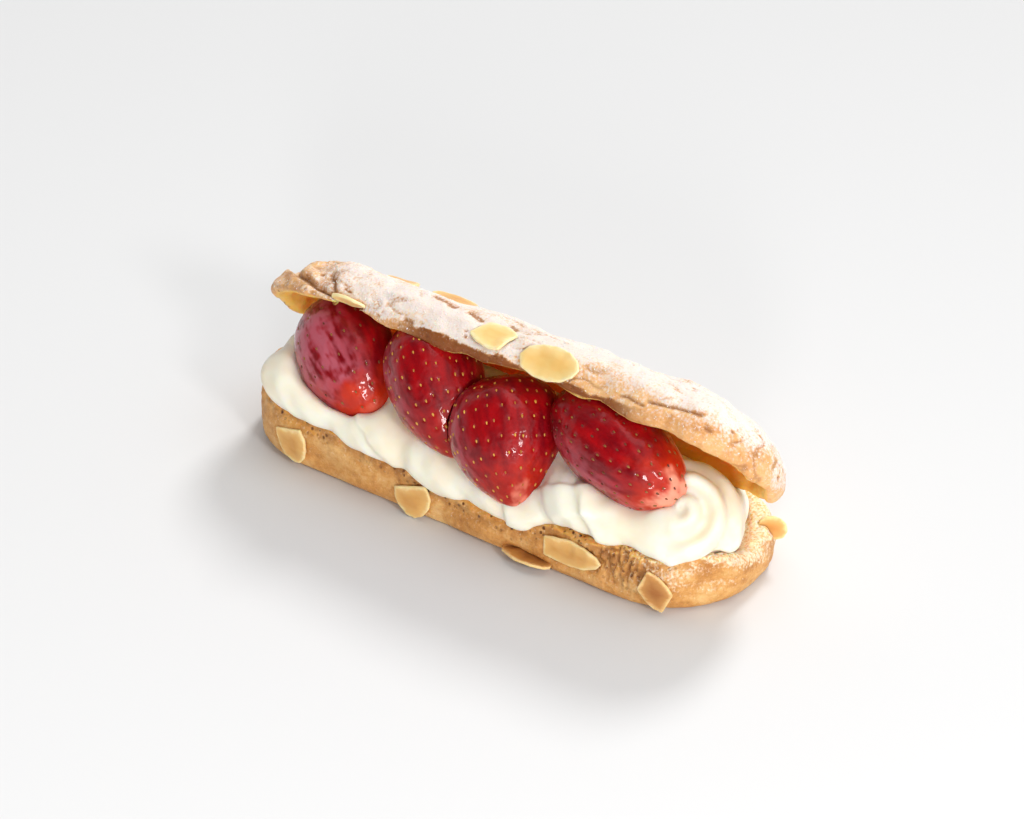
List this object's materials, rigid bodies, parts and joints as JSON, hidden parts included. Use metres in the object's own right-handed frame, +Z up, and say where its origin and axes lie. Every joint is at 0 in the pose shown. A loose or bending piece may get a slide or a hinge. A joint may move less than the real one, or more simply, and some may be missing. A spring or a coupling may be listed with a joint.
{
  "type": "eclair",
  "caption": "Choux eclair split along its side, filled with piped cream and halved strawberries, its almond-flaked, sugar-dusted lid leaning back.",
  "frame": {"origin": "on the surface that the eclair rests on, under the middle of its box", "axes": "+X along the bun towards its fuller end, -Y out of the open side, +Z up"},
  "size_m": [0.152, 0.0544, 0.0525],
  "materials": {
    "crust": "baked choux crust, satin",
    "dusted_crust": "baked choux crust dusted with icing sugar, matt",
    "cream": "smooth piped cream, soft sheen",
    "strawberry": "glazed, wet gloss",
    "almond": "lightly toasted, satin"
  },
  "bodies": {
    "root": {"choux_base": "crust", "choux_lid": "dusted_crust", "cream": "cream", "strawberry_1": "strawberry", "strawberry_2": "strawberry", "strawberry_3": "strawberry", "strawberry_4": "strawberry", "lid_almond_1": "almond", "lid_almond_2": "almond", "lid_almond_3": "almond", "lid_almond_4": "almond", "lid_almond_5": "almond", "lid_almond_6": "almond", "lid_almond_7": "almond", "base_almond_1": "almond", "base_almond_2": "almond", "base_almond_3": "almond", "base_almond_4": "almond", "base_almond_5": "almond", "base_almond_6": "almond", "base_almond_7": "almond", "base_almond_8": "almond"}
  },
  "joints": []
}
